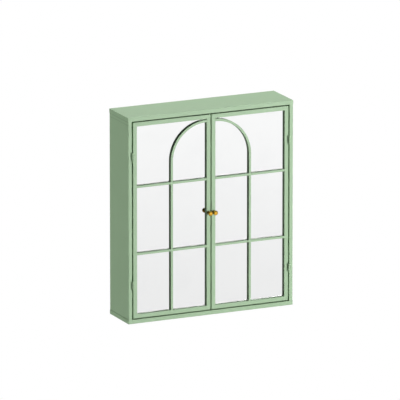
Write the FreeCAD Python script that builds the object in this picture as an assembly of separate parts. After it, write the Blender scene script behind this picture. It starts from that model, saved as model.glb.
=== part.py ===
import FreeCAD
import Part
import math
import os

# Mirrored wall cabinet of folded sheet steel, with two inset doors and an arched bar grille.
# Millimetres: X to the right, Y from the doors towards the wall, Z up.
# The origin lies on the wall plane, in the middle of the back.

# Body
width = 600.0
height = 700.0
depth = 150.0
sheet = 1.0
inside_bend = 0.6
face = 14.0  # width of the front flange round the doors, and height of the caps' rims
rear_flange = 14.0
hinge_lip = 22.0  # depth of the side panels' returns, which carry the hinges
lip_margin = 2.0  # how far the caps' returns run on behind the catches
tab_setback = 4.0  # side panel tabs inside the caps, kept off the caps' front and rear walls
cap_play = 0.5
back_play = 1.0

# Fixing to the wall
wall_hole = 8.0
wall_hole_inset = 60.0  # from the body's outer edges to the hole centres
wall_hole_drop = 80.0
wall_plate = 40.0

# Rivets through the back panel
back_rivet = 3.2
back_rivet_head = 6.0
back_rivet_rise = 1.2
back_rivet_pitch = 220.0
fastener_play = 0.1  # radial, round every screw and rivet

# Doors
reveal = 4.0  # gap round the doors and between them
stile = 14.0  # door frame members, seen from the front
web = 10.0  # their rear part, beside the glass
door_depth = 17.0
tube_wall = 1.2
edge_round = 0.6

# Grille and mirror
bar = 8.0
grille_depth = 8.0  # from the door's front to the glass
bar_round = 0.8
cross_bar_spread = 228.0
crown_gap = 3.0  # between the arch and the top rail
glass = 4.0
glass_play = 1.0
glazing_width = 10.0  # rubber strips behind the pane's edges

# Door back cover and its screws
cover = 1.0
cover_margin = 1.0
field_margin = 34.0  # flat border round the pressed field
field_rise = 2.5
field_corner = 10.0
field_round = 1.2
cover_screw = 2.8
cover_screw_head = 6.0
cover_screw_rise = 1.6
cover_screw_length = 7.0
rail_screw_spread = 120.0
stile_screw_spread = 300.0
recess_width = 0.9
recess_depth = 0.9

# Knobs
ball = 16.0
knob_reach = 24.0
knob_base = 12.0
knob_base_rise = 1.5
knob_neck = 6.4
neck_sweep = 2.0
knob_screw = 3.0
knob_screw_head = 5.6
knob_screw_rise = 1.8
knob_screw_grip = 8.0
thread_relief = 1.5

# Hinges
knuckle = 8.0
hinge_pin = 4.0
pin_play = 0.05
pin_tip = 5.0
pin_tip_rise = 0.8
pin_tip_round = 0.6
hinge_length = 26.0
middle_knuckle = 9.4
knuckle_play = 0.3
hinge_stand = 0.3  # between the knuckles and the plane of the door front
hinge_inset = 114.0  # from the ends of the door to the hinge centres
leaf = 1.2
leaf_depth = 17.0
leaf_clearance = 0.5
leaf_rivet = 3.0
leaf_rivet_setback = 11.0
leaf_rivet_spread = 16.0
leaf_rivet_tail = 4.8
leaf_rivet_tail_rise = 1.0

# Magnetic catches and their strike plates
strike = 1.2
strike_height = 14.0
catch_gap = 0.3
catch_offset = 24.0  # from the middle of the cabinet
catch_length = 36.0
catch_depth = 14.0
catch_height = 18.0
catch_ear = 10.0
catch_ear_rise = 3.0
magnet_length = 26.0
magnet_depth = 5.0
magnet_height = 8.0
magnet_play = 0.1
catch_screw = 3.0
catch_screw_head = 5.6
catch_screw_rise = 1.6
catch_screw_end = 1.5  # screw end standing above the return

# Door stops
stop_length = 30.0
stop_offset = 45.0
stop_height = 22.0
stop_axis = 14.0  # height of the bumper's axis above the bottom return
bumper = 10.0
bumper_rise = 3.5
bumper_round = 1.5
bumper_gap = 0.3

# Shelf strips, clips and shelves
strip_face = 14.0
strip_flange = 6.0
strip_rise = 6.0
strip_end_gap = 16.0
front_strip = 46.0  # from the door front to the strip's middle line
rear_strip = 30.0  # from the wall to the strip's middle line
slot_pitch = 38.0
slot_width = 8.0
slot_height = 3.0
slot_end = 12.0
shelf_slot = 3  # slots above and below the middle at which the shelves hang
clip_width = 7.4
clip_rise = 2.0
clip_reach = 12.0
clip_hook = 6.0
clip_play = 0.2
shelf_play = 1.0
shelf_lip = 14.0
shelf_hem = 7.0
shelf_front_gap = 3.5
shelf_back_gap = 2.5

# Planes that several pieces share
half_width = width / 2
half_height = height / 2
front = -depth
rim = half_height - face  # inner edge of the caps' rims, top and bottom
wall_inside = half_width - 2 * sheet
back_front = -2 * sheet
door_outer = -(half_width - face - reveal)
door_inner = -reveal / 2
door_top = half_height - face - reveal
door_middle = (door_outer + door_inner) / 2
glass_front = front + grille_depth
glass_back = glass_front + glass
cover_front = front + door_depth
cover_back = cover_front + cover
strike_back = cover_back + strike
catch_front = strike_back + catch_gap
return_end = catch_front + catch_depth + lip_margin
hinge_x = -(half_width - face - reveal / 2)
hinge_y = front - knuckle / 2 - hinge_stand
hinge_heights = (door_top - hinge_inset, hinge_inset - door_top)
knob_x = door_inner - stile / 2
strike_middle = door_top - cover_margin - strike_height / 2
strip_web_x = -(wall_inside - strip_rise)
strip_lines = (front + front_strip, -rear_strip)
strip_half = rim - strip_end_gap
slots_each_way = int((strip_half - slot_end) // slot_pitch)


def vector(x, y, z):
    return FreeCAD.Vector(x, y, z)


def box(x_range, y_range, z_range):
    """Block between two x, two y and two z values."""
    low = [min(pair) for pair in (x_range, y_range, z_range)]
    high = [max(pair) for pair in (x_range, y_range, z_range)]
    sides = [top - bottom for bottom, top in zip(low, high)]
    return Part.makeBox(*sides, vector(*low))


def rod(diameter, start, end):
    """Round rod between two points."""
    along = vector(*end) - vector(*start)
    return Part.makeCylinder(diameter / 2, along.Length, vector(*start), along)


def mirrored(shape):
    """The right-hand copy of a left-hand piece."""
    return shape.mirror(vector(0, 0, 0), vector(1, 0, 0))


def turned_over(shape):
    """The lower copy of an upper piece."""
    return shape.mirror(vector(0, 0, 0), vector(0, 0, 1))


def cut_all(shape, tools):
    for tool in tools:
        shape = shape.cut(tool)
    return shape


def fuse_all(shapes):
    whole = shapes[0].multiFuse(shapes[1:])
    return whole.removeSplitter()


def outline(corners):
    """Face in the u, v plane from (u, v, rounding) corners."""
    points = [vector(u, v, 0) for u, v, radius in corners]
    edges = []
    starts = []
    ends = []
    arcs = []
    for index, (u, v, radius) in enumerate(corners):
        here = points[index]
        back = (points[index - 1] - here).normalize()
        ahead = (points[(index + 1) % len(points)] - here).normalize()
        if radius == 0:
            starts.append(here)
            ends.append(here)
            arcs.append(None)
            continue
        half_angle = back.getAngle(ahead) / 2
        setback = radius / math.tan(half_angle)
        bisector = (back + ahead).normalize()
        centre_distance = radius / math.sin(half_angle)
        starts.append(here + back * setback)
        ends.append(here + ahead * setback)
        arcs.append(here + bisector * (centre_distance - radius))
    for index in range(len(corners)):
        if arcs[index] is not None:
            edges.append(Part.Arc(starts[index], arcs[index], ends[index]).toShape())
        following = starts[(index + 1) % len(corners)]
        edges.append(Part.LineSegment(ends[index], following).toShape())
    return Part.Face(Part.Wire(edges))


def folded(path):
    """Section of the sheet folded square along a path, which runs in the middle of its thickness."""
    half = sheet / 2
    count = len(path)
    left_side = []
    right_side = []
    for index, (u, v) in enumerate(path):
        here = vector(u, v, 0)
        before = vector(*path[max(index - 1, 0)], 0)
        after = vector(*path[min(index + 1, count - 1)], 0)
        arriving = (here - before).normalize() if index > 0 else (after - here).normalize()
        leaving = (after - here).normalize() if index < count - 1 else arriving
        turn = arriving.x * leaving.y - arriving.y * leaving.x
        normal = vector(-arriving.y - leaving.y, arriving.x + leaving.x, 0).normalize()
        reach = half / (normal.dot(vector(-arriving.y, arriving.x, 0)))
        tight, wide = (inside_bend, inside_bend + sheet) if abs(turn) > 0.5 else (0, 0)
        left_round, right_round = (tight, wide) if turn > 0 else (wide, tight)
        left = here + normal * reach
        right = here - normal * reach
        left_side.append((left.x, left.y, left_round))
        right_side.append((right.x, right.y, right_round))
    return outline(left_side + right_side[::-1])


def along_z(section, low, high):
    """Section drawn in x, y and run up from low to high."""
    section = section.copy()
    section.translate(vector(0, 0, low))
    return section.extrude(vector(0, 0, high - low))


def along_x(section, low, high):
    """Section drawn in y, z and run across from low to high."""
    section = section.copy()
    section.rotate(vector(0, 0, 0), vector(1, 1, 1), 120)
    section.translate(vector(low, 0, 0))
    return section.extrude(vector(high - low, 0, 0))


def along_y(section, low, high):
    """Section drawn in x, z and run back from low to high."""
    section = section.copy()
    section.rotate(vector(0, 0, 0), vector(1, 0, 0), 90)
    section.translate(vector(0, low, 0))
    return section.extrude(vector(0, high - low, 0))


def round_edges(shape, radius, chosen):
    """Rounds the edges for which the test on an edge's end points holds."""
    edges = [edge for edge in shape.Edges if chosen([vertex.Point for vertex in edge.Vertexes])]
    return shape.makeFillet(radius, edges)


def write(name, *solids):
    shape = solids[0] if len(solids) == 1 else Part.makeCompound(list(solids))
    shape.exportStep(f"parts/{name}.step")


def screw(head, rise, shank, seat, tip):
    """Cross-recessed pan-head screw along Y, its head behind the seat point."""
    x, y, z = seat
    dome = round_edges(
        rod(head, seat, (x, y + rise, z)),
        rise / 2,
        lambda ends: min(point.y for point in ends) > y + rise / 2,
    )
    reach = head / 2 - 2 * recess_width
    bottom = (y + rise - recess_depth, y + rise)
    across = (x - reach, x + reach)
    along = (z - reach, z + reach)
    slim_x = (x - recess_width / 2, x + recess_width / 2)
    slim_z = (z - recess_width / 2, z + recess_width / 2)
    dome = cut_all(dome, [box(across, bottom, slim_z), box(slim_x, bottom, along)])
    return dome.fuse(rod(shank, (x, tip, z), seat)).removeSplitter()


# Where the fasteners go

def back_rivet_points():
    """Rivets along both rear flanges and along the rear rims of both caps."""
    flange_x = half_width - sheet - rear_flange / 2
    rim_z = half_height - face / 2
    steps = (-1, 0, 1)
    points = [(side * flange_x, step * back_rivet_pitch) for side in (-1, 1) for step in steps]
    points += [(step * back_rivet_pitch, side * rim_z) for side in (-1, 1) for step in steps]
    return points


def wall_hole_points():
    across = half_width - wall_hole_inset
    upright = half_height - wall_hole_drop
    return [(x, z) for x in (-across, across) for z in (-upright, upright)]


def back_rivet_holes():
    hole = back_rivet + 2 * fastener_play
    return [rod(hole, (x, back_front - sheet, z), (x, sheet, z)) for x, z in back_rivet_points()]


def wall_holes():
    return [rod(wall_hole, (x, back_front - sheet, z), (x, sheet, z)) for x, z in wall_hole_points()]


def catch_screw_x():
    """Across positions of one catch's two screws, in its ears."""
    inner = -catch_offset + catch_ear / 2
    outer = -catch_offset - catch_length - catch_ear / 2
    return (inner, outer)


def catch_screw_y():
    return catch_front + catch_depth / 2


# Body

def cap():
    """Top panel: plate, rim all round, and a return behind the front rim for the catches."""
    whole = (-half_width, half_width)
    outer = box(whole, (front, 0), (rim, half_height))
    outer = round_edges(
        outer, inside_bend + sheet, lambda ends: max(point.z for point in ends) > rim + sheet
    )
    inside = (sheet - half_width, half_width - sheet)
    hollow = box(inside, (front + sheet, -sheet), (rim, half_height - sheet))
    hollow = round_edges(
        hollow, inside_bend, lambda ends: max(point.z for point in ends) > rim + sheet
    )
    return_half = wall_inside - cap_play
    front_return = box((-return_half, return_half), (front + sheet / 2, return_end), (rim, rim + sheet))
    tray = outer.cut(hollow).fuse(front_return).removeSplitter()
    return cut_all(tray, back_rivet_holes())


def top_panel():
    hole = catch_screw + 2 * fastener_play
    y = catch_screw_y()
    drills = [rod(hole, (x, y, rim - sheet), (x, y, rim + 2 * sheet)) for x in catch_screw_x()]
    drills += [mirrored(drill) for drill in drills]
    return cut_all(cap(), drills)


def left_side_panel():
    """Wall, front flange, hinge return and rear flange in one folding, with tabs inside the caps."""
    wall_x = -half_width + 1.5 * sheet
    lip_x = -half_width + face - sheet / 2
    path = [
        (lip_x, front + hinge_lip),
        (lip_x, front + sheet / 2),
        (wall_x, front + sheet / 2),
        (wall_x, -sheet / 2),
        (-half_width + sheet + rear_flange, -sheet / 2),
    ]
    panel = along_z(folded(path), -rim, rim)
    tab_end = half_height - sheet - inside_bend - cap_play
    wall = (-wall_inside - sheet, -wall_inside)
    tab_run = (front + tab_setback, -tab_setback)
    tabs = [box(wall, tab_run, (side * rim, side * tab_end)) for side in (-1, 1)]
    panel = fuse_all([panel] + tabs)
    hole = leaf_rivet + 2 * fastener_play
    drills = [rod(hole, (door_outer, y, z), (lip_x - sheet, y, z)) for y, z in leaf_rivet_points()]
    return cut_all(panel, drills + back_rivet_holes())


def back_panel():
    across = wall_inside - back_play
    upright = half_height - sheet - back_play
    plate = box((-across, across), (back_front, -sheet), (-upright, upright))
    return cut_all(plate, back_rivet_holes() + wall_holes())


def back_rivets():
    solids = []
    for x, z in back_rivet_points():
        head_end = back_front - back_rivet_rise
        head = round_edges(
            rod(back_rivet_head, (x, back_front, z), (x, head_end, z)),
            back_rivet_rise / 2,
            lambda ends: max(point.y for point in ends) < back_front - back_rivet_rise / 2,
        )
        shank = rod(back_rivet, (x, back_front, z), (x, -sheet / 2, z))
        solids.append(head.fuse(shank).removeSplitter())
    return solids


def wall_fixing_plates():
    """Doublers behind the back panel, through which the cabinet is screwed to the wall."""
    half = wall_plate / 2
    plates = []
    for x, z in wall_hole_points():
        plate = box((x - half, x + half), (-sheet, 0), (z - half, z + half))
        plates.append(cut_all(plate, wall_holes()))
    return plates


# Shelves

def slot_levels():
    return [step * slot_pitch for step in range(-slots_each_way, slots_each_way + 1)]


def left_shelf_strips():
    """Two slotted strips of hat section on the side wall."""
    wall_x = -wall_inside + sheet / 2
    web_x = strip_web_x - sheet / 2
    half = strip_face / 2 - sheet / 2
    strips = []
    for y in strip_lines:
        path = [
            (wall_x, y - half - strip_flange),
            (wall_x, y - half),
            (web_x, y - half),
            (web_x, y + half),
            (wall_x, y + half),
            (wall_x, y + half + strip_flange),
        ]
        strip = along_z(folded(path), -strip_half, strip_half)
        slot_x = (strip_web_x - 2 * sheet, strip_web_x + sheet)
        slot_y = (y - slot_width / 2, y + slot_width / 2)
        slots = [box(slot_x, slot_y, (z - slot_height / 2, z + slot_height / 2)) for z in slot_levels()]
        strips.append(cut_all(strip, slots))
    return strips


def shelf_clips(level):
    """Four hooked clips, two on each side, with their arms at one slot level."""
    clips = []
    arm_z = (level - clip_rise / 2, level + clip_rise / 2)
    hook_front = strip_web_x - sheet - clip_play
    hook_back = hook_front - sheet
    for y in strip_lines:
        across = (y - clip_width / 2, y + clip_width / 2)
        arm = box((hook_back, strip_web_x + clip_reach), across, arm_z)
        hook = box((hook_back, hook_front), across, (level - clip_hook, level + clip_rise / 2))
        stop = box((strip_web_x, strip_web_x + sheet), across, (level - clip_hook, level + clip_rise / 2))
        clips.append(fuse_all([arm, hook, stop]))
    return clips + [mirrored(clip) for clip in clips]


def shelf(level):
    """Folded shelf lying on the clips at one slot level."""
    plate_z = level + clip_rise / 2 + sheet / 2
    shelf_front = cover_back + field_rise + shelf_front_gap + sheet / 2
    shelf_back = back_front - shelf_back_gap - sheet / 2
    path = [
        (shelf_front + shelf_hem, plate_z - shelf_lip),
        (shelf_front, plate_z - shelf_lip),
        (shelf_front, plate_z),
        (shelf_back, plate_z),
        (shelf_back, plate_z - shelf_lip),
    ]
    half = -strip_web_x - shelf_play
    return along_x(folded(path), -half, half)


# Catches and stops

def left_catch_housing():
    """Plastic catch under the top return, with a screw ear at each end."""
    ends = (-catch_offset - catch_length, -catch_offset)
    deep = (catch_front, catch_front + catch_depth)
    body = box(ends, deep, (rim - catch_height, rim))
    ears = box((ends[0] - catch_ear, ends[1] + catch_ear), deep, (rim - catch_ear_rise, rim))
    pocket = magnet_block(magnet_play)
    y = catch_screw_y()
    hole = catch_screw + 2 * fastener_play
    drills = [rod(hole, (x, y, rim - catch_ear_rise), (x, y, rim)) for x in catch_screw_x()]
    return cut_all(fuse_all([body, ears]), [pocket] + drills)


def magnet_block(play):
    half = magnet_length / 2 + play
    middle = -catch_offset - catch_length / 2
    half_rise = magnet_height / 2 + play
    return box(
        (middle - half, middle + half),
        (catch_front, catch_front + magnet_depth + play),
        (strike_middle - half_rise, strike_middle + half_rise),
    )


def left_catch_screws():
    """Two screws driven up through the ears and the return."""
    screws = []
    y = catch_screw_y()
    seat = rim - catch_ear_rise
    half_rise = catch_screw_rise / 2
    for x in catch_screw_x():
        head = rod(catch_screw_head, (x, y, seat - catch_screw_rise), (x, y, seat))
        head = round_edges(
            head, half_rise, lambda ends: max(point.z for point in ends) < seat - half_rise
        )
        shank = rod(catch_screw, (x, y, seat), (x, y, rim + sheet + catch_screw_end))
        screws.append(head.fuse(shank).removeSplitter())
    return screws


def left_door_stop():
    """Folded tab on the bottom return, behind the door."""
    upright_y = cover_back + bumper_gap + bumper_rise + sheet / 2
    foot_z = -rim + sheet / 2
    path = [
        (return_end - lip_margin, foot_z),
        (upright_y, foot_z),
        (upright_y, -rim + stop_height),
    ]
    half = stop_length / 2
    return along_x(folded(path), -stop_offset - half, -stop_offset + half)


def left_stop_bumper():
    z = -rim + stop_axis
    nose = cover_back + bumper_gap
    button = rod(bumper, (-stop_offset, nose + bumper_rise, z), (-stop_offset, nose, z))
    return round_edges(
        button, bumper_round, lambda ends: max(point.y for point in ends) < nose + bumper_rise / 2
    )


# Hinges

def leaf_rivet_points():
    """Rivets of both hinges, as distance from the wall and height."""
    y = front + leaf_rivet_setback
    half = leaf_rivet_spread / 2
    return [(y, z + side * half) for z in hinge_heights for side in (-1, 1)]


def hinge_leaf(z, x_range, spans):
    """Leaf in the gap beside the door, with knuckles over the given height spans."""
    plate_y = hinge_y + knuckle / 2 + leaf_clearance
    neck_y = hinge_y + (hinge_pin + knuckle) / 4
    half = hinge_length / 2
    pieces = [box(x_range, (plate_y, front + leaf_depth), (z - half, z + half))]
    for low, high in spans:
        pieces.append(rod(knuckle, (hinge_x, hinge_y, z + low), (hinge_x, hinge_y, z + high)))
        pieces.append(box(x_range, (neck_y, plate_y), (z + low, z + high)))
    bore = rod(hinge_pin + 2 * pin_play, (hinge_x, hinge_y, z - half), (hinge_x, hinge_y, z + half))
    hole = leaf_rivet + 2 * fastener_play
    reach = (hinge_x - knuckle, hinge_x + knuckle)
    drills = [rod(hole, (reach[0], y, level), (reach[1], y, level)) for y, level in leaf_rivet_points()]
    return cut_all(fuse_all(pieces), [bore] + drills)


def frame_leaf(z):
    """Left-hand leaf on the side panel's return, with the two end knuckles."""
    lip = -half_width + face
    half = hinge_length / 2
    inner = middle_knuckle / 2 + knuckle_play
    return hinge_leaf(z, (lip, lip + leaf), [(-half, -inner), (inner, half)])


def door_leaf(z):
    """Left-hand leaf on the door's edge, with the middle knuckle."""
    half = middle_knuckle / 2
    return hinge_leaf(z, (door_outer - leaf, door_outer), [(-half, half)])


def left_hinge_pins():
    """Pins with a rounded tip standing out of each end of the barrel."""
    pins = []
    half = hinge_length / 2
    for z in hinge_heights:
        pieces = [rod(hinge_pin, (hinge_x, hinge_y, z - half), (hinge_x, hinge_y, z + half))]
        for side in (-1, 1):
            seat = z + side * half
            end = seat + side * pin_tip_rise
            tip = rod(pin_tip, (hinge_x, hinge_y, seat), (hinge_x, hinge_y, end))
            outer_rim = [
                edge for edge in tip.Edges
                if all(abs(vertex.Point.z - end) < pin_tip_round / 2 for vertex in edge.Vertexes)
            ]
            pieces.append(tip.makeFillet(pin_tip_round, outer_rim))
        pins.append(fuse_all(pieces))
    return pins


def leaf_rivets(start_x, tail_x, tail_side):
    """Flush rivets of both hinges on one leaf, headed on the hidden side."""
    rivets = []
    for y, z in leaf_rivet_points():
        shank = rod(leaf_rivet, (start_x, y, z), (tail_x, y, z))
        tail_end = tail_x + tail_side * leaf_rivet_tail_rise
        tail = rod(leaf_rivet_tail, (tail_x, y, z), (tail_end, y, z))
        rivets.append(shank.fuse(tail).removeSplitter())
    return rivets


def left_frame_leaf_rivets():
    lip = -half_width + face
    return leaf_rivets(lip + leaf, lip - sheet, -1)


def left_door_leaf_rivets():
    return leaf_rivets(door_outer - leaf, door_outer + tube_wall, 1)


# Door frame

def member_corners():
    """Rebated tube of the door frame: corners from the outer edge inwards and from the front back."""
    outer = [
        (0, 0, edge_round),
        (stile, 0, edge_round),
        (stile, grille_depth, 0),
        (web, grille_depth, 0),
        (web, door_depth, 0),
        (0, door_depth, 0),
    ]
    wall = tube_wall
    hollow = [
        (wall, wall, 0),
        (stile - wall, wall, 0),
        (stile - wall, grille_depth - wall, 0),
        (web - wall, grille_depth - wall, 0),
        (web - wall, door_depth - wall, 0),
        (wall, door_depth - wall, 0),
    ]
    return outer, hollow


def stile_tube(edge, inward):
    """Upright member whose outer edge is at x = edge."""
    outer, hollow = [
        along_z(outline([(edge + inward * u, front + v, r) for u, v, r in corners]), -door_top, door_top)
        for corners in member_corners()
    ]
    foot = edge + inward * stile
    mitre = door_top - stile
    ends = [(edge, -door_top, 0), (foot, -mitre, 0), (foot, mitre, 0), (edge, door_top, 0)]
    return outer.cut(hollow).common(along_y(outline(ends), front, cover_front))


def rail_tube(edge, inward):
    """Level member whose outer edge is at z = edge."""
    outer, hollow = [
        along_x(outline([(front + v, edge + inward * u, r) for u, v, r in corners]), door_outer, door_inner)
        for corners in member_corners()
    ]
    foot = edge + inward * stile
    ends = [
        (door_outer, edge, 0),
        (door_outer + stile, foot, 0),
        (door_inner - stile, foot, 0),
        (door_inner, edge, 0),
    ]
    return outer.cut(hollow).common(along_y(outline(ends), front, cover_front))


def cover_screw_points():
    """Screws round the back cover, in the middle of the members' rear parts."""
    middle = web / 2
    points = []
    for side in (-1, 1):
        for edge in (-1, 1):
            points.append((door_middle + side * rail_screw_spread / 2, edge * (door_top - middle)))
        points.append((door_outer + middle, side * stile_screw_spread / 2))
        points.append((door_inner - middle, side * stile_screw_spread / 2))
    return points


def cover_screw_holes():
    hole = cover_screw + 2 * fastener_play
    deep = cover_front - 2 * tube_wall
    return [rod(hole, (x, deep, z), (x, cover_back, z)) for x, z in cover_screw_points()]


def knob_screw_hole():
    return rod(knob_screw + 2 * fastener_play, (knob_x, front, 0), (knob_x, cover_back, 0))


def left_hinge_stile():
    hole = leaf_rivet + 2 * fastener_play
    far = door_outer + 2 * tube_wall
    drills = [rod(hole, (door_outer, y, z), (far, y, z)) for y, z in leaf_rivet_points()]
    return cut_all(stile_tube(door_outer, 1), drills + cover_screw_holes())


def left_meeting_stile():
    return cut_all(stile_tube(door_inner, -1), cover_screw_holes() + [knob_screw_hole()])


def left_rail(side):
    return cut_all(rail_tube(side * door_top, -side), cover_screw_holes())


# Grille and mirror

def arched_bar_blank():
    """Upright bar in the middle of the door, bent over into a quarter circle that ends on the meeting stile."""
    end_x = door_inner - stile
    radius = end_x - door_middle
    half = bar / 2
    spring = door_top - stile - crown_gap - radius - half
    foot = stile - door_top
    runs = []
    ends = []
    for reach in (radius + half, radius - half):
        diagonal = reach * math.sqrt(0.5)
        bottom = vector(end_x - reach, foot, 0)
        shoulder = vector(end_x - reach, spring, 0)
        middle = vector(end_x - diagonal, spring + diagonal, 0)
        end = vector(end_x, spring + reach, 0)
        runs.append(Part.LineSegment(bottom, shoulder).toShape())
        runs.append(Part.Arc(shoulder, middle, end).toShape())
        ends.append((bottom, end))
    runs.append(Part.LineSegment(ends[0][0], ends[1][0]).toShape())
    runs.append(Part.LineSegment(ends[0][1], ends[1][1]).toShape())
    section = Part.Face(Part.Wire(Part.__sortEdges__(runs)))
    return along_y(section, front, glass_front)


def left_arched_bar():
    """The bar with its long front edges rounded."""
    blank = arched_bar_blank()
    long_edges = [edge for edge in blank.Edges if edge.Length > 2 * bar]
    long_front = [
        edge for edge in long_edges
        if all(abs(vertex.Point.y - front) < bar_round for vertex in edge.Vertexes)
    ]
    return blank.makeFillet(bar_round, long_front)


def left_cross_bars(level):
    """Two lengths of bar at one height, either side of the arched bar."""
    half = bar / 2
    section = outline(
        [
            (front, level - half, bar_round),
            (front, level + half, bar_round),
            (glass_front, level + half, 0),
            (glass_front, level - half, 0),
        ]
    )
    whole = along_x(section, door_outer + stile, door_inner - stile)
    return whole.cut(arched_bar_blank()).Solids


def pane_edges():
    inset = web + glass_play
    return (door_outer + inset, door_inner - inset), door_top - inset


def left_mirror():
    across, upright = pane_edges()
    return box(across, (glass_front, glass_back), (-upright, upright))


def left_glazing_strips():
    """Rubber strips round the pane, between the glass and the back cover."""
    across, upright = pane_edges()
    deep = (glass_back, cover_front)
    low, high = across
    inner = upright - glazing_width
    strips = [
        box((low, low + glazing_width), deep, (-upright, upright)),
        box((high - glazing_width, high), deep, (-upright, upright)),
    ]
    between = (low + glazing_width, high - glazing_width)
    strips += [box(between, deep, (side * upright, side * inner)) for side in (-1, 1)]
    return strips


# Door back and fittings

def field_block(inset, rise):
    """Block with rounded corners for the cover's pressed field, or for its hollow side."""
    margin = cover_margin + field_margin + inset
    upright = door_top - margin
    y_end = cover_back + rise
    block = box((door_outer + margin, door_inner - margin), (cover_front, y_end), (-upright, upright))
    block = round_edges(
        block, field_corner - inset, lambda ends: abs(ends[0].y - ends[-1].y) > rise / 2
    )
    return round_edges(block, field_round, lambda ends: min(point.y for point in ends) > y_end - rise / 2)


def left_back_cover():
    across = (door_outer + cover_margin, door_inner - cover_margin)
    upright = door_top - cover_margin
    plate = box(across, (cover_front, cover_back), (-upright, upright))
    pressed = plate.fuse(field_block(0, field_rise)).cut(field_block(cover, field_rise - cover))
    return cut_all(pressed.removeSplitter(), cover_screw_holes() + [knob_screw_hole()])


def left_cover_screws():
    tip = cover_back - cover_screw_length
    return [
        screw(cover_screw_head, cover_screw_rise, cover_screw, (x, cover_back, z), tip)
        for x, z in cover_screw_points()
    ]


def left_strike_plate():
    ends = (-catch_offset - catch_length, -catch_offset)
    half = strike_height / 2
    plate = box(ends, (cover_back, strike_back), (strike_middle - half, strike_middle + half))
    return round_edges(plate, 2 * sheet, lambda ends: abs(ends[0].y - ends[-1].y) > strike / 2)


def left_knob():
    """Turned knob: round base, slim neck and ball, with a blind screw bore."""
    radius = ball / 2
    neck = knob_neck / 2
    base = knob_base / 2
    centre_y = -(knob_reach - radius)
    meet_y = centre_y + math.sqrt(radius**2 - neck**2)
    sweep_y = -knob_base_rise - neck_sweep
    hollow_x = neck + neck_sweep * (1 - math.sqrt(0.5))
    hollow_y = sweep_y + neck_sweep * math.sqrt(0.5)
    edges = [
        Part.LineSegment(vector(0, 0, 0), vector(base, 0, 0)),
        Part.LineSegment(vector(base, 0, 0), vector(base, -knob_base_rise, 0)),
        Part.LineSegment(vector(base, -knob_base_rise, 0), vector(neck + neck_sweep, -knob_base_rise, 0)),
        Part.Arc(
            vector(neck + neck_sweep, -knob_base_rise, 0),
            vector(hollow_x, hollow_y, 0),
            vector(neck, sweep_y, 0),
        ),
        Part.LineSegment(vector(neck, sweep_y, 0), vector(neck, meet_y, 0)),
        Part.Arc(vector(neck, meet_y, 0), vector(radius, centre_y, 0), vector(0, -knob_reach, 0)),
        Part.LineSegment(vector(0, -knob_reach, 0), vector(0, 0, 0)),
    ]
    profile = Part.Face(Part.Wire([edge.toShape() for edge in edges]))
    knob = profile.revolve(vector(0, 0, 0), vector(0, 1, 0), 360)
    bore_end = -knob_screw_grip - thread_relief
    knob = knob.cut(rod(knob_screw + 2 * fastener_play, (0, 0, 0), (0, bore_end, 0)))
    knob.translate(vector(knob_x, front, 0))
    return knob


def left_knob_screw():
    return screw(
        knob_screw_head, knob_screw_rise, knob_screw, (knob_x, cover_back, 0), front - knob_screw_grip
    )


# Writing the pieces

def both_sides(solids):
    return list(solids) + [mirrored(solid) for solid in solids]


def write_pair(name, *solids):
    """A left-hand node and its mirror image on the right."""
    write(f"left_{name}", *solids)
    write(f"right_{name}", *[mirrored(solid) for solid in solids])


def write_body():
    write("top_panel", top_panel())
    write("bottom_panel", turned_over(cap()))
    write_pair("side_panel", left_side_panel())
    write("back_panel", back_panel())
    write("back_rivets", *back_rivets())
    write("wall_fixing_plates", *wall_fixing_plates())
    write_pair("shelf_strips", *left_shelf_strips())
    for name, level in (("upper", shelf_slot * slot_pitch), ("lower", -shelf_slot * slot_pitch)):
        write(f"{name}_shelf", shelf(level))
        write(f"{name}_shelf_clips", *shelf_clips(level))
    write("catch_housings", *both_sides([left_catch_housing()]))
    write("catch_magnets", *both_sides([magnet_block(0)]))
    write("catch_screws", *both_sides(left_catch_screws()))
    write("door_stops", *both_sides([left_door_stop()]))
    write("stop_bumpers", *both_sides([left_stop_bumper()]))
    write("hinge_pins", *both_sides(left_hinge_pins()))
    write("frame_leaf_rivets", *both_sides(left_frame_leaf_rivets()))


def write_doors():
    write_pair("hinge_stile", left_hinge_stile())
    write_pair("meeting_stile", left_meeting_stile())
    write_pair("top_rail", left_rail(1))
    write_pair("bottom_rail", left_rail(-1))
    write_pair("arched_bar", left_arched_bar())
    write_pair("upper_cross_bars", *left_cross_bars(cross_bar_spread / 2))
    write_pair("lower_cross_bars", *left_cross_bars(-cross_bar_spread / 2))
    write_pair("mirror", left_mirror())
    write_pair("glazing_strips", *left_glazing_strips())
    write_pair("back_cover", left_back_cover())
    write_pair("cover_screws", *left_cover_screws())
    write_pair("strike_plate", left_strike_plate())
    write_pair("knob", left_knob())
    write_pair("knob_screw", left_knob_screw())
    write_pair("door_leaf_rivets", *left_door_leaf_rivets())
    for name, z in zip(("upper", "lower"), hinge_heights):
        write_pair(f"{name}_frame_leaf", frame_leaf(z))
        write_pair(f"{name}_door_leaf", door_leaf(z))


os.makedirs("parts", exist_ok=True)
write_body()
write_doors()
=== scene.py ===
"""Looks of the mirrored wall cabinet: its finishes, its turned knobs and the studio round it."""

import math

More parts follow.
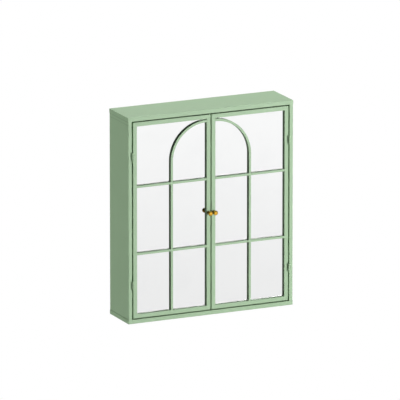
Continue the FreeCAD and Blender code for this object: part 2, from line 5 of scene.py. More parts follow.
import bmesh
import bpy
from bpy.props import FloatProperty, FloatVectorProperty, IntProperty, PointerProperty
from bpy.types import Operator, Panel, PropertyGroup
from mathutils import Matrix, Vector


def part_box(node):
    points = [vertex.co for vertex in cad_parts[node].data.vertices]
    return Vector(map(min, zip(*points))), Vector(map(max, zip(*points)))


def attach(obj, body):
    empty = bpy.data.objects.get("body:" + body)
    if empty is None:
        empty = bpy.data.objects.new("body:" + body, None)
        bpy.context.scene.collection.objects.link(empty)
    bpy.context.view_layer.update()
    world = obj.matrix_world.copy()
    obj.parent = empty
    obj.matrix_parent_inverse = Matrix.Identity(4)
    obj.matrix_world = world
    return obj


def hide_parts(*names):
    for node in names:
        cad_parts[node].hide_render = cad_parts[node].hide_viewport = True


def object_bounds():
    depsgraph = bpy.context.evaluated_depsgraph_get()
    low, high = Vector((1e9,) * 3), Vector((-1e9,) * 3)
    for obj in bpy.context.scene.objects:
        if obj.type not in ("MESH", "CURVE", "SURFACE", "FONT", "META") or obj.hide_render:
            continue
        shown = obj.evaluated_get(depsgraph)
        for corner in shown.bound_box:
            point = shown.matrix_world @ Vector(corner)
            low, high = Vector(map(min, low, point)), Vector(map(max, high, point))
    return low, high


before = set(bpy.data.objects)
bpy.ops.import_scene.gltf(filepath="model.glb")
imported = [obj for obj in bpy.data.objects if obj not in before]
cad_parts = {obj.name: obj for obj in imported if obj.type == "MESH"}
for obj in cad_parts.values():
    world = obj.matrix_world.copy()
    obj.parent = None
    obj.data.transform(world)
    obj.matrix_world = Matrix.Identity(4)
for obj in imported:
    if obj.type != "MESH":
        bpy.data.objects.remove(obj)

bl_info = {
    "name": "Mirrored wall cabinet",
    "version": (1, 0, 0),
    "blender": (4, 5, 0),
    "location": "3D View > Sidebar > Wall cabinet",
    "description": "Finishes the packed wall cabinet and sets up its studio",
    "category": "Object",
}

CAD_LOW, CAD_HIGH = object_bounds()
KNOB_LOW, KNOB_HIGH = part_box("left_knob")
TOP_LOW, TOP_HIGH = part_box("top_panel")
BODY_MIDDLE = Vector((0, (TOP_LOW.y + TOP_HIGH.y) / 2, 0))
SEAM_HEIGHT = TOP_LOW.z
WALL_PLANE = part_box("right_side_panel")[1].x
SIDES = ("left", "right")

BODY_SHELL = (
    "top_panel", "bottom_panel", "left_side_panel", "right_side_panel",
    "back_panel", "back_rivets", "wall_fixing_plates",
)
SHELVING = ("upper_shelf", "lower_shelf", "left_shelf_strips", "right_shelf_strips")
SHELF_CLIPS = ("upper_shelf_clips", "lower_shelf_clips")
DOOR_FRAME = ("hinge_stile", "meeting_stile", "top_rail", "bottom_rail")
GRILLE = ("arched_bar", "upper_cross_bars", "lower_cross_bars")
HINGE_LEAVES = ("upper_frame_leaf", "lower_frame_leaf", "upper_door_leaf", "lower_door_leaf")

# Finishes that several pieces share
COAT = "sage_powder_coat"
ZINC = "bright_zinc_plate"
RUBBER = "matt_rubber"

# Coat: how close to the sides' face a point counts as on it for the painted shade lines, and what changes its
# tone and satin
WALL_SKIN = 0.0005
THIN_STOPS = ((0.35, 0.0), (0.7, 1.0))
GRAIN_PART = 0.2
CLOUD_SATIN = 0.08
PEEL_SATIN = 0.1

# Mirror: where the wiped-over patches begin and where they are at their haziest
HAZE_STOPS = ((0.45, 0.0), (0.75, 1.0))

# Knobs: small roundings, and how far from the door the painted shade on the brass is full and gone, in metres
KNOB_EDGE = 0.0004
KNOB_FILLET = 0.0008
FULL_SHADE_REACH = 0.006
NO_SHADE_REACH = 0.014
TARNISH_SIZE = 0.004
TARNISH_PART = 0.1
TARNISH_SATIN = 0.08
RING_RISE = 0.000004
LACQUER = {"Coat Weight": 0.15, "Coat Roughness": 0.08}

# Small parts: widths and rises in metres, roughness from smooth to rough, and how much lighter a tone can get
CRYSTALS_PER_METRE = 900.0
CRYSTAL_RISE = 0.00001
CRYSTAL_DULLING = 0.5
SMEAR_DULLING = 0.6
SMEAR_SIZE = 0.006
ZINC_ROUGHNESS = (0.26, 0.46)
PLASTIC_GRAIN_SIZE = 0.0005
PLASTIC_GRAIN_RISE = 0.00002
PLASTIC_ROUGHNESS = (0.48, 0.64)
WEAR_SIZE = 0.012
WEAR_LIGHTER = 1.8
BLOOM_SIZE = 0.003
BLOOM_RISE = 0.00003
BLOOM_LIGHTER = 2.2
RUBBER_ROUGHNESS = (0.72, 0.92)
SCRATCH_SIZE = 0.0004
SCRATCH_STRETCH = (0.05, 1.0, 1.0)
SCRATCH_RISE = 0.00001
SPECKLE_SIZE = 0.0012
SPECKLE_PART = 0.5
SPECKLE_LIGHTER = 2.0
FERRITE_METAL = 0.35
FERRITE_ROUGHNESS = (0.38, 0.63)

# Studio: the brightest way in the room, in radians below the front, and how the room dims away from it
ROOM_DIP = 0.05
ROOM_STOPS = ((0.45, 0.05), (0.75, 1.0))
SECOND_TURN = 1.5
SENSOR_WIDTH = 36
FAR_CLIP = 200

# Shader nodes: colour sockets of a Mix node, and the finer part of every noise
MIX_FIRST, MIX_SECOND, MIX_RESULT = 6, 7, 2
NOISE_ROUGHNESS = 0.55


# Settings

def share(name, description, default):
    """A plain number from 0 to 1."""
    return FloatProperty(name=name, description=description, default=default, min=0, max=1, subtype="FACTOR")


def length(name, description, default):
    """A length in metres."""
    return FloatProperty(
        name=name, description=description, default=default, min=0, unit="LENGTH", precision=5
    )


def shift(name, description, default):
    """A length in metres that can go either way."""
    return FloatProperty(name=name, description=description, default=default, unit="LENGTH", precision=4)


def angle(name, description, degrees):
    """An angle, given in degrees and kept in radians."""
    return FloatProperty(
        name=name, description=description, default=math.radians(degrees), subtype="ANGLE", unit="ROTATION"
    )


def colour(name, description, default):
    """A colour, as linear red, green and blue."""
    return FloatVectorProperty(
        name=name, description=description, default=default, min=0, max=1, size=3, subtype="COLOR"
    )


class CoatSettings(PropertyGroup):
    """Powder coat on all the sheet steel."""

    tone: colour("Tone", "Colour of the coat where it is even", (0.366, 0.53, 0.333))
    thin_tone: colour("Thin tone", "Colour where the coat lies thinner", (0.35, 0.512, 0.318))
    # The seam tone is painted shade, laid under the caps' rims and along a fold line on the sides
    seam_shade_tone: colour("Seam tone", "Colour in the lap seams under the caps' rims", (0.16, 0.26, 0.14))
    seam_width: length("Seam width", "Height of the shade under a lap seam", 0.003)
    fold_drop: length("Fold drop", "Depth of the sides' fold line under the top of the cabinet", 0.026)
    fold_width: length("Fold width", "Half the width of that line", 0.0012)
    fold_shade: share("Fold shade", "How much of the seam tone that line takes", 0.6)
    roughness: share("Roughness", "Satin of the coat", 0.5)
    cloud_size: length("Cloud size", "Width of the drifts in the coat's thickness", 0.16)
    peel_size: length("Peel size", "Width of the ripples left by baking", 0.0022)
    peel_height: length("Peel height", "Height of those ripples", 0.00003)
    grain_size: length("Grain size", "Width of the powder's grains", 0.0006)


class MirrorSettings(PropertyGroup):
    """Silvered glass in the doors."""

    tone: colour("Tone", "Tint of the silvered glass", (0.945, 0.95, 0.95))
    haze_tone: colour("Haze tone", "Tint where the glass is a little dusty", (0.925, 0.93, 0.932))
    patch_size: length("Patch size", "Width of the wiped-over patches", 0.11)


class BrassSettings(PropertyGroup):
    """Turned and lacquered brass of the knobs."""

    tone: colour("Tone", "Polished brass", (0.88, 0.48, 0.05))
    # Painted shade round the knob's neck, of which the random tarnish also takes a little
    shade_and_tarnish_tone: colour("Dark tone", "Brass left to darken round the neck", (0.12, 0.08, 0.012))
    roughness: share("Roughness", "Polish of the ball", 0.24)
    base_width: length("Base width", "Diameter of the round base", 0.012)
    base_rise: length("Base rise", "Thickness of the base", 0.0015)
    neck_width: length("Neck width", "Diameter of the neck", 0.0064)
    sweep: length("Sweep", "Hollow between the base and the neck", 0.002)
    ring_pitch: length("Ring pitch", "Distance between turning marks", 0.0004)
    segments: IntProperty(name="Segments", description="Flats round the turned form", default=72, min=12)


class SmallPartSettings(PropertyGroup):
    """Zinc, plastic, rubber and magnet finishes of the small parts."""

    zinc: colour("Zinc", "Bright zinc plate", (0.60, 0.615, 0.63))
    dull_zinc: colour("Dull zinc", "Zinc plate in its darker crystals", (0.43, 0.44, 0.455))
    plastic: colour("Plastic", "Moulded catch housings", (0.03, 0.031, 0.032))
    rubber: colour("Rubber", "Stop bumpers and glazing strips", (0.045, 0.045, 0.044))
    ferrite: colour("Ferrite", "Ground faces of the magnets", (0.075, 0.073, 0.072))


class StudioSettings(PropertyGroup):
    """Floor, room and camera."""

    floor_drop: length("Floor drop", "Height of the cabinet above the floor", 0.9)
    floor_span: length("Floor span", "Side of the floor", 120.0)
    floor_tone: colour("Floor tone", "Paint of the floor", (0.48, 0.48, 0.48))
    dim_left: length("Dim left", "How far left of the cabinet the floor's dimmer part has its middle", 2.5)
    near_white: share("Near white", "Brightness of the floor in the mirrors, close to that middle", 0.875)
    far_white: share("Far white", "Brightness of the floor in the mirrors, away from that middle", 1.0)
    near_end: length("Near end", "Distance from that middle at which the floor starts to lighten", 4.57)
    far_end: length("Far end", "Distance from that middle at which the floor is at its lightest", 8.47)
    shadow: share("Shadow", "How much of its own shading the white floor keeps near the cabinet", 0.12)
    shadow_near: length("Shadow near", "Distance at which that shading starts to fade", 1.0)
    shadow_far: length("Shadow far", "Distance past which the floor is plain white", 2.1)
    rear_dim: share("Rear dim", "Brightness of the floor behind the cabinet in the coat's sheen", 0.1)
    rear_span: length("Rear span", "Distance behind the cabinet over which that dimming sets in", 1.0)
    floor_loss: share("Floor loss", "Loss of the floor's brightness in sheens seen in a mirror", 0.75)
    room_loss: share("Room loss", "Loss of the room's brightness in such sheens", 1.0)
    room: share("Room", "Faint light from all round", 0.02)
    view_angle: angle("View angle", "Camera's turn round the cabinet", -24.9)
    view_rise: angle("View rise", "Camera's height above the horizon", 14.3)
    view_distance: length("View distance", "Camera's distance from its target", 25.0)
    view_lens: FloatProperty(
        name="Lens", description="Focal length on a 36 mm sensor", default=680.2, min=1, unit="CAMERA"
    )
    aim_right: shift("Aim right", "Target's shift to the right", -0.0049)
    aim_up: shift("Aim up", "Target's shift upwards", 0.0233)


class CabinetSettings(PropertyGroup):
    """Everything that can be changed on the cabinet's looks."""

    coat: PointerProperty(type=CoatSettings)
    mirror: PointerProperty(type=MirrorSettings)
    brass: PointerProperty(type=BrassSettings)
    small: PointerProperty(type=SmallPartSettings)
    studio: PointerProperty(type=StudioSettings)


# Shader maths

class Wire:
    """A shader socket. Python's operators on it add Math nodes, and node() adds any other node to its tree."""

    def __init__(self, tree, socket=None):
        self.tree = tree
        self.socket = socket

    def node(self, kind, settings=None, inputs=None, output=0):
        """Adds a node, sets it up, then gives its sockets their values or links."""
        made = self.tree.nodes.new(kind)
        for name, value in (settings or {}).items():
            if name == "stops":
                set_stops(made.color_ramp, value)
            else:
                setattr(made, name, value)
        for name, value in (inputs or {}).items():
            if isinstance(value, Wire):
                self.tree.links.new(value.socket, made.inputs[name])
            else:
                made.inputs[name].default_value = value
        return Wire(self.tree, made.outputs[output] if made.outputs else None)

    def other(self, output):
        """Another output of the same node."""
        return Wire(self.tree, self.socket.node.outputs[output])

    def maths(self, operation, *values):
        return self.node("ShaderNodeMath", {"operation": operation}, dict(enumerate(values)))

    def __add__(self, value):
        return self.maths("ADD", self, value)

    def __radd__(self, value):
        return self.maths("ADD", value, self)

    def __sub__(self, value):
        return self.maths("SUBTRACT", self, value)

    def __rsub__(self, value):
        return self.maths("SUBTRACT", value, self)

    def __mul__(self, value):
        return self.maths("MULTIPLY", self, value)

    def __rmul__(self, value):
        return self.maths("MULTIPLY", value, self)

    def __abs__(self):
        return self.maths("ABSOLUTE", self)

    def __gt__(self, value):
        return self.maths("GREATER_THAN", self, value)

    def __lt__(self, value):
        return self.maths("LESS_THAN", self, value)

    def mix(self, first, second):
        """The first colour where this value is 0 and the second where it is 1."""
        return self.node(
            "ShaderNodeMix", {"data_type": "RGBA"},
            {"Factor": self, MIX_FIRST: opaque(first), MIX_SECOND: opaque(second)}, MIX_RESULT,
        )

    def between(self, low, high, at_low=0.0, at_high=1.0, change="LINEAR"):
        """One level up to the low value and another from the high value on, with a change in between."""
        return self.node(
            "ShaderNodeMapRange", {"interpolation_type": change},
            {"Value": self, "From Min": low, "From Max": high, "To Min": at_low, "To Max": at_high},
        )

    def ranging(self, low, high):
        """The low value where this one is 0 and the high value where it is 1."""
        return low + self * (high - low)

    def with_part(self, second, part):
        """This value with a part of it given over to a second one."""
        return self * (1 - part) + second * part


def set_stops(ramp, stops):
    """Sets a ramp's stops from (place, grey) pairs."""
    while len(ramp.elements) < len(stops):
        ramp.elements.new(1)
    for element, (place, grey) in zip(ramp.elements, stops):
        element.position = place
        element.color = (grey, grey, grey, 1)


def opaque(tone):
    """A colour for a socket, which also takes an alpha."""
    return tone if isinstance(tone, Wire) else (*tone, 1)


def lighter(tone, times):
    return tuple(times * part for part in tone)


def new_material(name):
    """An empty material, a wire to start its nodes from, and the place on the object."""
    material = bpy.data.materials.new(name)
    material.use_nodes = True
    material.node_tree.nodes.clear()
    start = Wire(material.node_tree)
    return material, start, start.node("ShaderNodeTexCoord", output="Object")


def finish_material(start, inputs):
    surface = start.node("ShaderNodeBsdfPrincipled", inputs=inputs)
    start.node("ShaderNodeOutputMaterial", inputs={"Surface": surface})


def noise(place, size, detail):
    """Noise with lumps of about the given size."""
    return place.node("ShaderNodeTexNoise", inputs={
        "Vector": place, "Scale": 1 / size, "Detail": detail, "Roughness": NOISE_ROUGHNESS,
    })


def bump(height, rise):
    """Normal of a surface whose height goes from 0 to 1 over the given rise."""
    return height.node("ShaderNodeBump", inputs={"Strength": 1.0, "Distance": rise, "Height": height})


# Finishes

def powder_coat(coat):
    """Satin powder coat: faint drifts of thickness, rippled by baking, over a fine grain, with painted shade
    lines on the side walls.
    """
    material, start, place = new_material(COAT)
    cloud = noise(place, coat.cloud_size, detail=2.0)
    peel = noise(place, coat.peel_size, detail=1.0)
    grain = noise(place, coat.grain_size, detail=0.0)
    thin = start.node("ShaderNodeValToRGB", {"stops": THIN_STOPS}, {"Fac": cloud.with_part(grain, GRAIN_PART)})
    even = thin.mix(coat.tone, coat.thin_tone)
    finish_material(start, {
        # Painted shade lines under the caps' rims and along the sides' fold line
        "Base Color": painted_side_shade(place, coat).mix(even, coat.seam_shade_tone),
        "Roughness": coat.roughness + (cloud - 0.5) * CLOUD_SATIN + (peel - 0.5) * PEEL_SATIN,
        "Normal": bump(peel.with_part(grain, GRAIN_PART), coat.peel_height),
    })
    return material


def painted_side_shade(place, coat):
    """Painted shade: 1 on the side walls right under the caps' rims, and less in the fold line below the top
    cap.
    """
    split = place.node("ShaderNodeSeparateXYZ", inputs={"Vector": place})
    height = split.other("Z")
    upright = abs(height)
    rim_shade = upright.between(SEAM_HEIGHT - coat.seam_width, SEAM_HEIGHT)
    off_fold = abs(height - (CAD_HIGH.z - coat.fold_drop))
    fold_line_shade = off_fold.between(0.0, coat.fold_width, coat.fold_shade, 0.0)
    on_wall = abs(split.other("X")) > WALL_PLANE - WALL_SKIN
    return (rim_shade * (upright < SEAM_HEIGHT) + fold_line_shade) * on_wall


def silvered_glass(mirror):
    """Clean mirror with faint wiped-over patches."""
    material, start, place = new_material("silvered_mirror_glass")
    patch = noise(place, mirror.patch_size, detail=4.0)
    hazy = start.node("ShaderNodeValToRGB", {"stops": HAZE_STOPS}, {"Fac": patch})
    finish_material(start, {
        "Base Color": hazy.mix(mirror.tone, mirror.haze_tone),
        "Metallic": 1.0,
        "Roughness": 0.0,
    })
    return material


def turned_brass(brass):
    """Lacquered brass with fine turning marks round the knob's axis, and painted shade round the neck."""
    material, start, place = new_material("turned_brass")
    along = start.node("ShaderNodeSeparateXYZ", inputs={"Vector": place}).other("Y")
    marks = start.maths("SINE", along * (2 * math.pi / brass.ring_pitch))
    tarnish = noise(place, TARNISH_SIZE, detail=4.0)
    # Painted shade: full near the door and gone towards the ball
    neck = along.between(KNOB_HIGH.y - NO_SHADE_REACH, KNOB_HIGH.y - FULL_SHADE_REACH)
    finish_material(start, {
        "Base Color": neck.with_part(tarnish, TARNISH_PART).mix(brass.tone, brass.shade_and_tarnish_tone),
        "Metallic": 1.0,
        "Roughness": brass.roughness + tarnish * TARNISH_SATIN,
        "Normal": bump(marks.ranging(0.5, 1.0), RING_RISE),
        **LACQUER,
    })
    return material


def zinc_plate(small):
    """Bright zinc with its fine crystals."""
    material, start, place = new_material(ZINC)
    crystals = start.node("ShaderNodeTexVoronoi", inputs={"Vector": place, "Scale": CRYSTALS_PER_METRE})
    smear = noise(place, SMEAR_SIZE, detail=3.0)
    shade = crystals * CRYSTAL_DULLING + smear * SMEAR_DULLING
    finish_material(start, {
        "Base Color": shade.mix(small.zinc, small.dull_zinc),
        "Metallic": 1.0,
        "Roughness": smear.ranging(*ZINC_ROUGHNESS),
        "Normal": bump(crystals, CRYSTAL_RISE),
    })
    return material


def moulded_plastic(small):
    """Black plastic with a fine spark-eroded grain."""
    material, start, place = new_material("moulded_catch_plastic")
    grain = noise(place, PLASTIC_GRAIN_SIZE, detail=1.0)
    wear = noise(place, WEAR_SIZE, detail=3.0)
    finish_material(start, {
        "Base Color": wear.mix(small.plastic, lighter(small.plastic, WEAR_LIGHTER)),
        "Roughness": grain.ranging(*PLASTIC_ROUGHNESS),
        "Normal": bump(grain, PLASTIC_GRAIN_RISE),
    })
    return material


def moulded_rubber(small):
    """Matt rubber, a little chalky."""
    material, start, place = new_material(RUBBER)
    bloom = noise(place, BLOOM_SIZE, detail=4.0)
    finish_material(start, {
        "Base Color": bloom.mix(small.rubber, lighter(small.rubber, BLOOM_LIGHTER)),
        "Roughness": bloom.ranging(*RUBBER_ROUGHNESS),
        "Normal": bump(bloom, BLOOM_RISE),
    })
    return material


def ground_ferrite(small):
    """Sintered magnet, ground flat with marks along it."""
    material, start, place = new_material("ground_ferrite")
    stretched = start.node("ShaderNodeVectorMath", {"operation": "MULTIPLY"}, {0: place, 1: SCRATCH_STRETCH})
    scratches = noise(stretched, SCRATCH_SIZE, detail=2.0)
    speckle = noise(place, SPECKLE_SIZE, detail=3.0)
    shade = scratches.with_part(speckle, SPECKLE_PART)
    finish_material(start, {
        "Base Color": shade.mix(small.ferrite, lighter(small.ferrite, SPECKLE_LIGHTER)),
        "Metallic": FERRITE_METAL,
        "Roughness": scratches.ranging(*FERRITE_ROUGHNESS),
        "Normal": bump(scratches, SCRATCH_RISE),
    })
    return material


def dress(nodes, material):
    """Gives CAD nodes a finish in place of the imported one."""
    for name in nodes:
        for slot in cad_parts[name].material_slots:
            slot.material = material


def both(*names):
    """The left and right nodes of a door or side."""
    return [f"{side}_{name}" for side in SIDES for name in names]


def finish_of(maker, name, settings):
    """A finish that several pieces share, made the first time it is asked for."""
    return bpy.data.materials.get(name) or maker(settings)


def coat_of(context):
    return finish_of(powder_coat, COAT, context.scene.wall_cabinet.coat)


def zinc_of(context):
    return finish_of(zinc_plate, ZINC, context.scene.wall_cabinet.small)


def rubber_of(context):
    return finish_of(moulded_rubber, RUBBER, context.scene.wall_cabinet.small)


# Knobs

def arc(centre, radius, start, end, steps):
    """Points round an arc in the (radius, along) plane, angles in degrees."""
    angles = [math.radians(start + (end - start) * step / steps) for step in range(steps + 1)]
    return [(centre[0] + radius * math.cos(a), centre[1] + radius * math.sin(a)) for a in angles]


def knob_profile(brass):
    """Half section of the knob, as (radius, distance out from the door) points, and the tip's distance."""
    reach = KNOB_HIGH.y - KNOB_LOW.y
    ball = (KNOB_HIGH.x - KNOB_LOW.x) / 2
    base = brass.base_width / 2
    neck = brass.neck_width / 2
    centre = reach - ball
    rim = (base - KNOB_EDGE, brass.base_rise - KNOB_EDGE)
    hollow = (neck + brass.sweep, brass.base_rise + brass.sweep)
    joint_radius = neck + KNOB_FILLET
    joint_along = centre - math.sqrt((ball + KNOB_FILLET) ** 2 - joint_radius ** 2)
    meet = math.degrees(math.atan2(centre - joint_along, -joint_radius))
    points = [(base, 0.0)]
    points += arc(rim, KNOB_EDGE, 0, 90, steps=4)
    points += arc(hollow, brass.sweep, 270, 180, steps=8)
    points += arc((joint_radius, joint_along), KNOB_FILLET, 180, meet, steps=6)
    points += arc((0, centre), ball, meet - 180, 90, steps=40)[1:-1]
    return points, reach


def turned_mesh(name, profile, tip, axis_x, foot_y, segments):
    """Solid of revolution about a line along Y, closed at its base and its tip."""
    form = bmesh.new()
    turns = [2 * math.pi * step / segments for step in range(segments)]
    rings = []
    for radius, out in profile:
        rings.append([
            form.verts.new((axis_x + radius * math.cos(t), foot_y - out, radius * math.sin(t))) for t in turns
        ])
    for lower, upper in zip(rings, rings[1:]):
        for step in range(segments):
            after = (step + 1) % segments
            form.faces.new((lower[step], lower[after], upper[after], upper[step]))
    end = form.verts.new((axis_x, foot_y - tip, 0))
    for step in range(segments):
        form.faces.new((rings[-1][step], rings[-1][(step + 1) % segments], end))
    flat_base = form.faces.new(rings[0])
    bmesh.ops.recalc_face_normals(form, faces=form.faces)
    for face in form.faces:
        face.smooth = face is not flat_base
    return linked_object(name, form)


def linked_object(name, form):
    """Turns a finished bmesh into an object of the scene."""
    mesh = bpy.data.meshes.new(name)
    form.to_mesh(mesh)
    form.free()
    piece = bpy.data.objects.new(name, mesh)
    bpy.context.scene.collection.objects.link(piece)
    return piece


# Studio

def facing(direction):
    """Rotation of a lamp or camera that looks in a direction."""
    return direction.to_track_quat("-Z", "Y").to_euler()


def on_sphere(turn, rise):
    """Direction towards a place turned round from the front and raised above the horizon, in radians."""
    return Vector((math.sin(turn) * math.cos(rise), -math.cos(turn) * math.cos(rise), math.sin(rise)))


def seen_rays(start):
    """1 for rays from the camera, straight or by way of metal and glass, and 0 for light on the object."""
    path = start.node("ShaderNodeLightPath")
    looks = path.other("Is Camera Ray") + path.other("Is Glossy Ray") + path.other("Is Transmission Ray")
    scattered = start.maths("MINIMUM", path.other("Diffuse Depth"), 1.0)
    return start.maths("MINIMUM", looks, 1.0) * (1 - scattered), path


def kept_again(path, loss):
    """Share of the studio's brightness that is left after a second turn, by way of a sheen and a mirror."""
    return 1 - (path.other("Glossy Depth") > SECOND_TURN) * loss


def floor_paint(studio):
    """White for the camera, with a faint shadow, dimmer to the left in mirrors and to the rear in sheens."""
    material, start, place = new_material("studio_floor_paint")
    seen, path = seen_rays(start)
    flat = start.node("ShaderNodeVectorMath", {"operation": "MULTIPLY"}, {0: place, 1: (1.0, 1.0, 0.0)})
    distance = start.node("ShaderNodeVectorMath", {"operation": "LENGTH"}, {0: flat}, "Value")
    off_middle = start.node(
        "ShaderNodeVectorMath", {"operation": "DISTANCE"}, {0: flat, 1: (-studio.dim_left, 0.0, 0.0)}, "Value"
    )
    behind = start.node("ShaderNodeSeparateXYZ", inputs={"Vector": place}).other("Y")
    fading = off_middle.between(
        studio.near_end, studio.far_end, studio.near_white, studio.far_white, "SMOOTHSTEP"
    )
    dimming = behind.between(0.0, studio.rear_span, 1.0, studio.rear_dim, "SMOOTHSTEP")
    shading = distance.between(studio.shadow_near, studio.shadow_far, studio.shadow, 0.0, "SMOOTHSTEP")
    sheen = 1 - path.other("Is Singular Ray")
    mirrored = fading * (1 - sheen * (1 - dimming)) * kept_again(path, studio.floor_loss)
    white = 1 - path.other("Is Glossy Ray") * (1 - mirrored)
    glowing = seen * (1 - path.other("Is Camera Ray") * shading)
    paint = start.node("ShaderNodeBsdfDiffuse", inputs={"Color": opaque(studio.floor_tone)})
    glow = start.node("ShaderNodeEmission", inputs={"Color": white, "Strength": 1.0})
    surface = start.node("ShaderNodeMixShader", inputs={0: glowing, 1: paint, 2: glow})
    start.node("ShaderNodeOutputMaterial", inputs={"Surface": surface})
    return material


def studio_floor(studio):
    drop = CAD_LOW.z - studio.floor_drop
    half = studio.floor_span / 2
    form = bmesh.new()
    corners = [(-half, -half, drop), (half, -half, drop), (half, half, drop), (-half, half, drop)]
    form.faces.new([form.verts.new(corner) for corner in corners])
    floor = linked_object("studio_floor", form)
    floor.data.materials.append(floor_paint(studio))


def studio_world(studio):
    """White behind the object, a bright front and a dark rear in metal, and little light of its own."""
    world = bpy.data.worlds.new("studio_room")
    world.use_nodes = True
    world.node_tree.nodes.clear()
    start = Wire(world.node_tree)
    seen, path = seen_rays(start)
    way = start.node("ShaderNodeTexCoord", output="Generated")
    towards = start.node(
        "ShaderNodeVectorMath", {"operation": "DOT_PRODUCT"}, {0: way, 1: on_sphere(0, -ROOM_DIP)}, "Value"
    )
    bright = start.node("ShaderNodeValToRGB", {"stops": ROOM_STOPS}, {"Fac": towards.ranging(0.5, 1.0)})
    picture = 1 - path.other("Is Glossy Ray") * (1 - bright * kept_again(path, studio.room_loss))
    level = seen * picture + (1 - seen) * studio.room
    glow = start.node("ShaderNodeBackground", inputs={"Color": level, "Strength": 1.0})
    start.node("ShaderNodeOutputWorld", inputs={"Surface": glow})
    bpy.context.scene.world = world


def lamp_targets(name, pieces, state):
    """The pieces that a lamp is kept from, or that it alone reaches, as the state says."""
    targets = bpy.data.collections.new(name)
    for piece in pieces:
        targets.objects.link(piece)
    for entry in targets.collection_objects:
        entry.light_linking.link_state = state
    return targets


def lamp(name, targets, turn, rise, distance, size, power, lights=True, shows=True):
    """Square softbox aimed at the cabinet's middle. It lights its targets, shows in their sheen, or both."""
    data = bpy.data.lights.new(name, "AREA")
    data.shape = "SQUARE"
    data.size = size
    data.energy = power
    light = bpy.data.objects.new(name, data)
    middle = (CAD_LOW + CAD_HIGH) / 2
    way = on_sphere(math.radians(turn), math.radians(rise))
    light.location = middle + way * distance
    light.rotation_euler = facing(-way)
    light.visible_camera = False
    light.visible_diffuse = lights
    light.visible_glossy = shows
    light.light_linking.receiver_collection = targets
    bpy.context.scene.collection.objects.link(light)


def studio_lamps():
    """Sets up the softboxes, with turns and rises in degrees.

    The mirrors and knobs show the room and no softbox. The front glare leaves out the top, which has one of its
    own from below its level. That one shows on the rim alone, so the upper face keeps its colour from behind.
    """
    bright = [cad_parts[name] for name in both("mirror")]
    bright += [bpy.data.objects[name] for name in both("turned_knob")]
    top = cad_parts["top_panel"]
    coated = lamp_targets("coated_pieces", bright, "EXCLUDE")
    below_top = lamp_targets("coated_pieces_below_top", bright + [top], "EXCLUDE")
    top_alone = lamp_targets("top_alone", [top], "INCLUDE")
    front = {"turn": 30, "rise": 7, "distance": 5.5, "size": 1.6, "power": 222}
    lamp("front_softbox", coated, **front, shows=False)
    lamp("front_glare", below_top, **front, lights=False)
    lamp("top_rim_glare", top_alone, turn=30, rise=-5, distance=5.5, size=1.5, power=140, lights=False)
    lamp("front_fill", coated, turn=4, rise=2, distance=6.0, size=1.6, power=48)
    lamp("rear_softbox", coated, turn=150, rise=60, distance=5.0, size=2.4, power=216)
    lamp("left_rear_fill", coated, turn=-108, rise=14, distance=5.0, size=2.2, power=114, shows=False)


def studio_camera(studio):
    data = bpy.data.cameras.new("studio_camera")
    data.lens = studio.view_lens
    data.sensor_width = SENSOR_WIDTH
    data.clip_end = FAR_CLIP
    camera = bpy.data.objects.new("studio_camera", data)
    bpy.context.scene.collection.objects.link(camera)
    way = on_sphere(studio.view_angle, studio.view_rise)
    right = Vector((math.cos(studio.view_angle), math.sin(studio.view_angle), 0))
    up = way.cross(right)
    target = BODY_MIDDLE + right * studio.aim_right + up * studio.aim_up
    camera.location = target + way * studio.view_distance
    camera.rotation_euler = facing(-way)
    bpy.context.scene.camera = camera


# Operators

class CABINET_OT_body_shell(Operator):
    """Coats the caps, side panels, back and wall plates."""

    bl_idname = "cabinet.body_shell"
    bl_label = "Body shell"

    def execute(self, context):
        dress(BODY_SHELL, coat_of(context))
        return {"FINISHED"}


class CABINET_OT_shelving(Operator):
    """Coats the shelves and slotted strips, and plates the hooked clips."""

    bl_idname = "cabinet.shelving"
    bl_label = "Shelving"

    def execute(self, context):
        dress(SHELVING, coat_of(context))
        dress(SHELF_CLIPS, zinc_of(context))
        return {"FINISHED"}


class CABINET_OT_door_frames(Operator):
    """Coats the stiles and rails of both doors."""

    bl_idname = "cabinet.door_frames"
    bl_label = "Door frames"

    def execute(self, context):
        dress(both(*DOOR_FRAME), coat_of(context))
        return {"FINISHED"}


class CABINET_OT_grilles(Operator):
    """Coats the arched bars and cross bars."""

    bl_idname = "cabinet.grilles"
    bl_label = "Grilles"

    def execute(self, context):
        dress(both(*GRILLE), coat_of(context))
        return {"FINISHED"}


class CABINET_OT_mirrors(Operator):
    """Silvers the panes and finishes the rubber strips behind them."""

    bl_idname = "cabinet.mirrors"
    bl_label = "Mirrors"

    def execute(self, context):
        dress(both("mirror"), silvered_glass(context.scene.wall_cabinet.mirror))
        dress(both("glazing_strips"), rubber_of(context))
        return {"FINISHED"}


class CABINET_OT_door_backs(Operator):
    """Coats the pressed back covers and plates their screws and strike plates."""

    bl_idname = "cabinet.door_backs"
    bl_label = "Door backs"

    def execute(self, context):
        dress(both("back_cover"), coat_of(context))
        dress(both("cover_screws", "strike_plate"), zinc_of(context))
        return {"FINISHED"}


class CABINET_OT_knobs(Operator):
    """Turns the two brass knobs in place of their solids, and plates the screws that hold them."""

    bl_idname = "cabinet.knobs"
    bl_label = "Knobs"

    def execute(self, context):
        brass = context.scene.wall_cabinet.brass
        profile, reach = knob_profile(brass)
        finish = turned_brass(brass)
        for side in SIDES:
            low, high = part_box(f"{side}_knob")
            axis_x = (low.x + high.x) / 2
            name = f"{side}_turned_knob"
            piece = turned_mesh(name, profile, reach, axis_x, high.y, brass.segments)
            piece.data.materials.append(finish)
            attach(piece, f"{side}_door")
            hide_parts(f"{side}_knob")
        dress(both("knob_screw"), zinc_of(context))
        return {"FINISHED"}


class CABINET_OT_hinges(Operator):
    """Coats the hinge leaves, pins and rivets."""

    bl_idname = "cabinet.hinges"
    bl_label = "Hinges"

    def execute(self, context):
        coat = coat_of(context)
        dress(both(*HINGE_LEAVES, "door_leaf_rivets"), coat)
        dress(("hinge_pins", "frame_leaf_rivets"), coat)
        return {"FINISHED"}


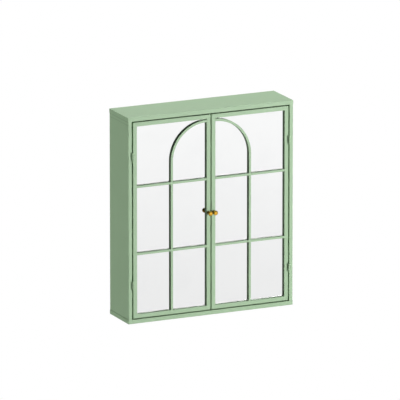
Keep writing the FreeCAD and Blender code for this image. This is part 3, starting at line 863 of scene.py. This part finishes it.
class CABINET_OT_catches_and_stops(Operator):
    """Finishes the magnetic catches and the door stops with their bumpers."""

    bl_idname = "cabinet.catches_and_stops"
    bl_label = "Catches and stops"

    def execute(self, context):
        small = context.scene.wall_cabinet.small
        dress(("catch_housings",), moulded_plastic(small))
        dress(("catch_magnets",), ground_ferrite(small))
        dress(("catch_screws",), zinc_of(context))
        dress(("door_stops",), coat_of(context))
        dress(("stop_bumpers",), rubber_of(context))
        return {"FINISHED"}


class CABINET_OT_studio(Operator):
    """Sets up the floor, the room, the softboxes and the camera."""

    bl_idname = "cabinet.studio"
    bl_label = "Studio"

    def execute(self, context):
        studio = context.scene.wall_cabinet.studio
        studio_floor(studio)
        studio_world(studio)
        studio_lamps()
        studio_camera(studio)
        context.scene.view_settings.view_transform = "Standard"
        return {"FINISHED"}


class CABINET_PT_sidebar(Panel):
    """Lists the cabinet's settings and the steps that finish it."""

    bl_idname = "CABINET_PT_sidebar"
    bl_label = "Wall cabinet"
    bl_space_type = "VIEW_3D"
    bl_region_type = "UI"
    bl_category = "Wall cabinet"

    def draw(self, context):
        settings = context.scene.wall_cabinet
        for group in (settings.coat, settings.mirror, settings.brass, settings.small, settings.studio):
            box = self.layout.box()
            for name in group.__annotations__:
                box.prop(group, name)
        for step in STEPS:
            self.layout.operator(step.bl_idname)


STEPS = (
    CABINET_OT_body_shell,
    CABINET_OT_shelving,
    CABINET_OT_door_frames,
    CABINET_OT_grilles,
    CABINET_OT_mirrors,
    CABINET_OT_door_backs,
    CABINET_OT_knobs,
    CABINET_OT_hinges,
    CABINET_OT_catches_and_stops,
    CABINET_OT_studio,
)
CLASSES = (
    CoatSettings, MirrorSettings, BrassSettings, SmallPartSettings, StudioSettings, CabinetSettings,
    *STEPS, CABINET_PT_sidebar,
)


def register():
    for kind in CLASSES:
        bpy.utils.register_class(kind)
    bpy.types.Scene.wall_cabinet = PointerProperty(type=CabinetSettings)


def unregister():
    del bpy.types.Scene.wall_cabinet
    for kind in reversed(CLASSES):
        bpy.utils.unregister_class(kind)


def main():
    register()
    bpy.ops.cabinet.body_shell()
    bpy.ops.cabinet.shelving()
    bpy.ops.cabinet.door_frames()
    bpy.ops.cabinet.grilles()
    bpy.ops.cabinet.mirrors()
    bpy.ops.cabinet.door_backs()
    bpy.ops.cabinet.knobs()
    bpy.ops.cabinet.hinges()
    bpy.ops.cabinet.catches_and_stops()
    bpy.ops.cabinet.studio()


if __name__ == "__main__":
    main()
